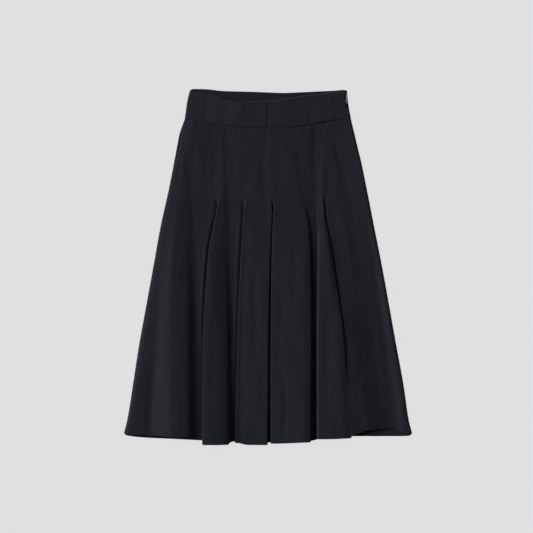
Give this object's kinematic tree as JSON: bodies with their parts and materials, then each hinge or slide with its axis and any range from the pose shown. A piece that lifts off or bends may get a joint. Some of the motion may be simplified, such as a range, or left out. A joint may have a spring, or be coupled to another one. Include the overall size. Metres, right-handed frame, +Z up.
{
  "type": "skirt",
  "caption": "Dark linen midi skirt laid flat, with a plain waistband, released front pleats opening to the hem, and a side zip with a pull tab.",
  "frame": {"origin": "on the surface that the skirt lies on, under the middle of the laid skirt", "axes": "+Y from the hem towards the waist, +Z up out of the front of the skirt, +X to the right in the picture, which is the wearer's left"},
  "size_m": [0.5908, 0.7282, 0.0179],
  "materials": {
    "front_linen": "very dark navy linen, plain slubbed weave, matt",
    "back_linen": "the same linen, plain back",
    "band_linen": "the same linen, doubled over a stiffener and pressed",
    "band_back_linen": "the same linen, inner face of the band",
    "zip_tape": "woven dark tape with a closed coil",
    "slider_metal": "dark grey metal",
    "tab_metal": "light grey metal"
  },
  "bodies": {
    "skirt": {"back_panel": "back_linen", "front_panel": "front_linen", "waistband_back": "band_back_linen", "waistband_front": "band_linen", "zip_tape": "zip_tape", "zip_slider": "slider_metal"},
    "pull_tab": {"zip_pull_tab": "tab_metal"}
  },
  "joints": [
    {"name": "pull_tab_hinge", "type": "hinge", "parent": "skirt", "child": "pull_tab", "pos_m": [0.161, 0.3541, 0.00555], "axis": [-1, 0, 0], "range_deg": [0, 175]}
  ]
}
